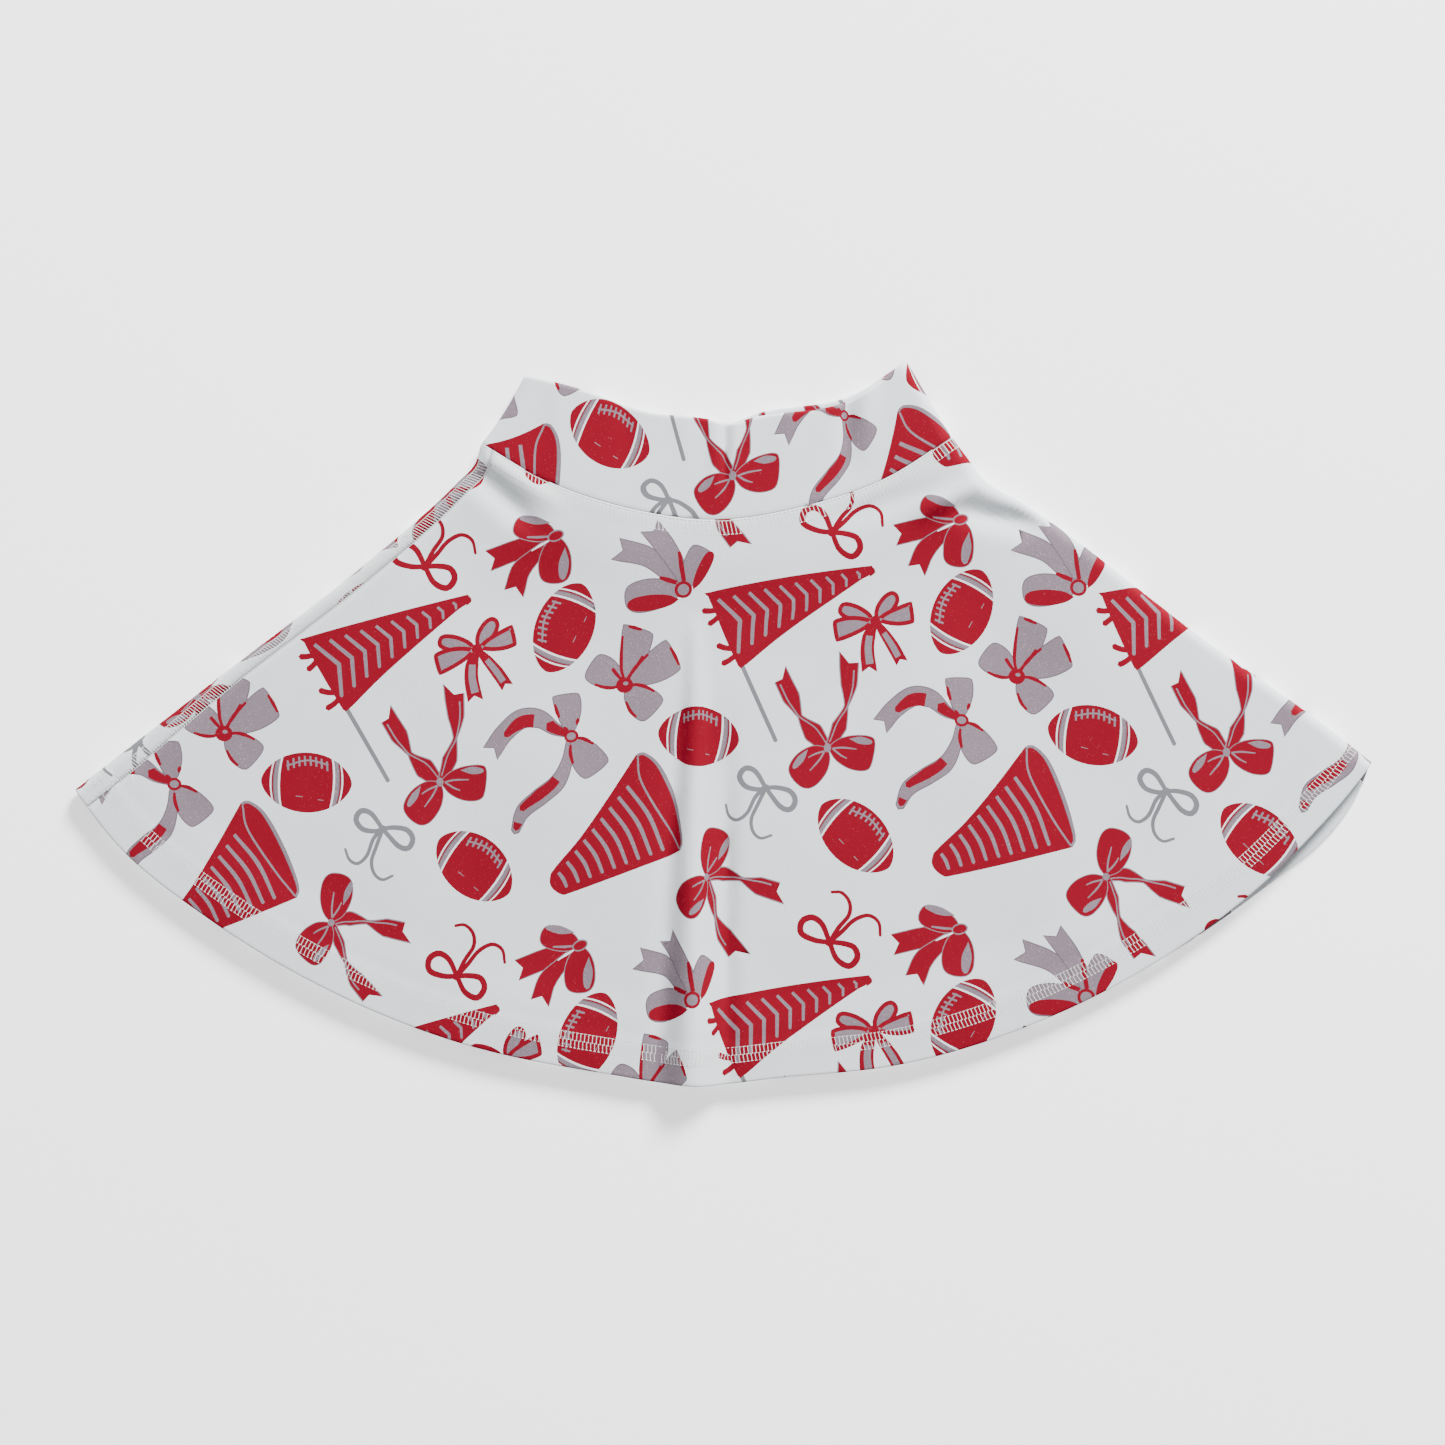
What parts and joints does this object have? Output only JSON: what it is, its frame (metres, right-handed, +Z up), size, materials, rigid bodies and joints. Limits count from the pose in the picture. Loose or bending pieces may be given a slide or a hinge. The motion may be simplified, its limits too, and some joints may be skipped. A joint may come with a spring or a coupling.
{
  "type": "cheer skirt",
  "caption": "Child's flared pull-on cheer skirt in printed knit with an elastic waistband, laid flat on its back.",
  "frame": {"origin": "on the floor, under the middle of the laid skirt's bounding box", "axes": "+X to the right of the skirt as it lies, +Y from the hem towards the waist, +Z up from the floor"},
  "size_m": [0.6464, 0.3608, 0.0205],
  "materials": {
    "printed_knit": "soft brushed white knit, printed in red and warm grey",
    "elastic": "ribbed white woven elastic",
    "stitching_thread": "white textured polyester thread",
    "label_satin": "blank white woven satin"
  },
  "bodies": {
    "root": {"front_skirt_panel": "printed_knit", "back_skirt_panel": "printed_knit", "waistband": "printed_knit", "waistband_elastic": "elastic", "elastic_join_stitches": "stitching_thread", "waistband_join_stitches": "stitching_thread", "waist_seam_coverstitch": "stitching_thread", "waist_seam_looper_thread": "stitching_thread", "hem_coverstitch": "stitching_thread", "hem_looper_thread": "stitching_thread", "left_side_seam_flatlock": "stitching_thread", "left_side_seam_looper_thread": "stitching_thread", "right_side_seam_flatlock": "stitching_thread", "right_side_seam_looper_thread": "stitching_thread", "care_label": "label_satin", "size_label": "label_satin"}
  },
  "joints": []
}
